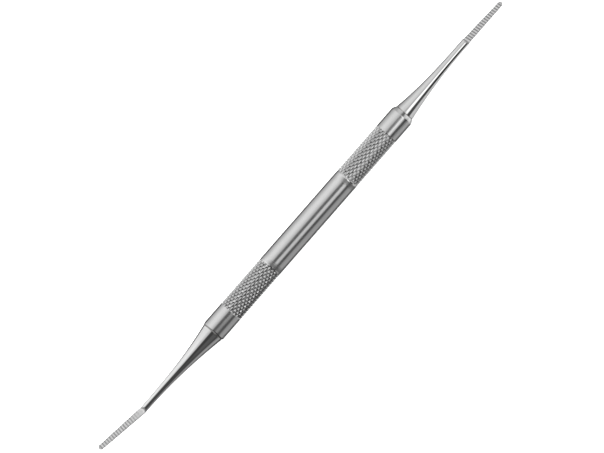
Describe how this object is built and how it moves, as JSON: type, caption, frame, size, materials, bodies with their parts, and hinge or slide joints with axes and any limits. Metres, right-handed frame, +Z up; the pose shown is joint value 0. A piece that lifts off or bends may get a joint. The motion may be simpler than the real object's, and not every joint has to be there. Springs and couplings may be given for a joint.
{
  "type": "double-ended nail file",
  "caption": "Slim double-ended nail file: round knurled steel handle, tapered polished shanks and narrow toothed blades, straight at one end and set over sideways at the other.",
  "frame": {"origin": "on the surface the tool lies on, under the middle of its overall length", "axes": "+X along the handle's axis towards the straight blade, +Y to the side that the angled blade is set over to, +Z up and square to the toothed faces"},
  "size_m": [0.1438, 0.006, 0.0061],
  "materials": {
    "handle_steel": "satin",
    "file_steel": "polished",
    "braze_metal": "dull"
  },
  "bodies": {
    "root": {"handle": "handle_steel", "straight_file": "file_steel", "angled_file": "file_steel", "straight_end_braze": "braze_metal", "angled_end_braze": "braze_metal"}
  },
  "joints": []
}
